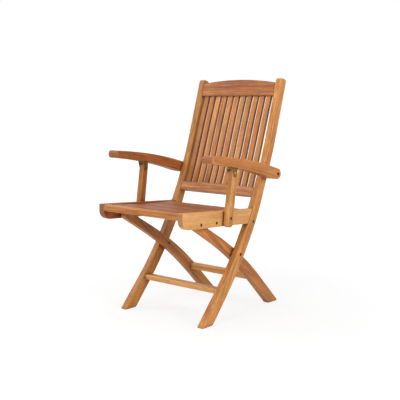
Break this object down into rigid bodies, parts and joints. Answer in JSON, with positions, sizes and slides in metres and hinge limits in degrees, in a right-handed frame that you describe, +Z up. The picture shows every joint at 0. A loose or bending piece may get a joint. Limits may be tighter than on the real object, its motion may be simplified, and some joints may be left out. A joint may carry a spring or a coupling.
{
  "type": "folding armchair",
  "caption": "Folding slatted wooden armchair with swept stiles crossed by sabre rear legs, a dished slat seat, and arms that swing up on leaning posts.",
  "frame": {"origin": "middle of the bounding box at floor level", "axes": "+Z up, the sitter faces -Y, +X is the sitter's left"},
  "size_m": [0.5314, 0.6162, 0.906],
  "materials": {
    "teak_tan": "oiled teak, smooth sanded",
    "teak_orange": "oiled teak, smooth sanded",
    "teak_rose": "oiled teak, smooth sanded",
    "teak_red": "oiled teak, smooth sanded",
    "teak_brown": "oiled teak, smooth sanded",
    "aged_brass": "aged brass, tumbled",
    "dark_brass": "darkened brass, tumbled",
    "black_plastic": "moulded matte plastic"
  },
  "bodies": {
    "back_frame": {"stile_left": "teak_orange", "stile_right": "teak_red", "back_slat_01": "teak_tan", "back_slat_02": "teak_rose", "back_slat_03": "teak_tan", "back_slat_04": "teak_tan", "back_slat_05": "teak_rose", "back_slat_06": "teak_tan", "back_slat_07": "teak_tan", "back_slat_08": "teak_rose", "back_slat_09": "teak_tan", "back_slat_10": "teak_tan", "back_slat_11": "teak_rose", "top_rail": "teak_red", "lower_back_rail": "teak_rose", "front_stretcher": "teak_rose", "cross_bolt_left": "dark_brass", "stile_link_bolt_left": "dark_brass", "arm_bolt_left": "dark_brass", "cross_bolt_right": "dark_brass", "stile_link_bolt_right": "dark_brass", "arm_bolt_right": "dark_brass", "front_glide_left": "black_plastic", "front_glide_right": "black_plastic"},
    "rear_legs": {"rear_stretcher": "teak_rose", "rear_leg_left": "teak_orange", "rear_leg_right": "teak_brown", "rear_glide_left": "black_plastic", "rear_glide_right": "black_plastic"},
    "seat": {"seat_rail_left": "teak_tan", "seat_rail_right": "teak_tan", "seat_front_slat": "teak_orange", "seat_slat_1": "teak_brown", "seat_slat_2": "teak_red", "seat_slat_3": "teak_brown", "seat_slat_4": "teak_red", "seat_slat_5": "teak_brown", "seat_slat_6": "teak_red", "seat_slat_7": "teak_brown", "seat_slat_8": "teak_red", "seat_slat_9": "teak_brown", "leg_bolt_left": "dark_brass", "seat_link_bolt_left": "dark_brass", "leg_bolt_right": "dark_brass", "seat_link_bolt_right": "dark_brass"},
    "link_left": {"seat_link_left": "aged_brass"},
    "link_right": {"seat_link_right": "aged_brass"},
    "arm_left": {"arm_left": "teak_orange", "arm_bracket_left": "aged_brass", "bracket_rivet_left": "aged_brass"},
    "arm_right": {"arm_right": "teak_brown", "arm_bracket_right": "aged_brass", "bracket_rivet_right": "aged_brass"},
    "post_left": {"arm_post_left": "teak_tan", "post_bolt_left": "dark_brass"},
    "post_right": {"arm_post_right": "teak_tan", "post_bolt_right": "dark_brass"}
  },
  "joints": [
    {"name": "rear_leg_fold", "type": "hinge", "parent": "back_frame", "child": "rear_legs", "pos_m": [0, 0.01874, 0.24209], "axis": [-1, 0, 0], "range_deg": [0, 67]},
    {"name": "seat_fold", "type": "hinge", "parent": "rear_legs", "child": "seat", "pos_m": [0, -0.20995, 0.38256], "axis": [1, 0, 0], "range_deg": [0, 127.25]},
    {"name": "link_left_fold", "type": "hinge", "parent": "seat", "child": "link_left", "pos_m": [0, -0.12375, 0.37903], "axis": [-1, 0, 0], "range_deg": [0, 146.72]},
    {"name": "arm_left_fold", "type": "hinge", "parent": "back_frame", "child": "arm_left", "pos_m": [0, 0.18314, 0.53925], "axis": [-1, 0, 0], "range_deg": [0, 88.28]},
    {"name": "post_left_fold", "type": "hinge", "parent": "arm_left", "child": "post_left", "pos_m": [0, -0.05366, 0.55701], "axis": [1, 0, 0], "range_deg": [0, 68]},
    {"name": "link_right_fold", "type": "hinge", "parent": "seat", "child": "link_right", "pos_m": [0, -0.12375, 0.37903], "axis": [-1, 0, 0], "range_deg": [0, 146.72]},
    {"name": "arm_right_fold", "type": "hinge", "parent": "back_frame", "child": "arm_right", "pos_m": [0, 0.18314, 0.53925], "axis": [-1, 0, 0], "range_deg": [0, 88.28]},
    {"name": "post_right_fold", "type": "hinge", "parent": "arm_right", "child": "post_right", "pos_m": [0, -0.05366, 0.55701], "axis": [1, 0, 0], "range_deg": [0, 68]}
  ],
  "couplings": [
    {"joint": "seat_fold", "follows": "rear_leg_fold", "ratio": 1.8992},
    {"joint": "link_left_fold", "follows": "rear_leg_fold", "ratio": 2.1898},
    {"joint": "arm_left_fold", "follows": "rear_leg_fold", "ratio": 1.3176},
    {"joint": "post_left_fold", "follows": "rear_leg_fold", "ratio": 1.0149},
    {"joint": "link_right_fold", "follows": "rear_leg_fold", "ratio": 2.1898},
    {"joint": "arm_right_fold", "follows": "rear_leg_fold", "ratio": 1.3176},
    {"joint": "post_right_fold", "follows": "rear_leg_fold", "ratio": 1.0149}
  ]
}
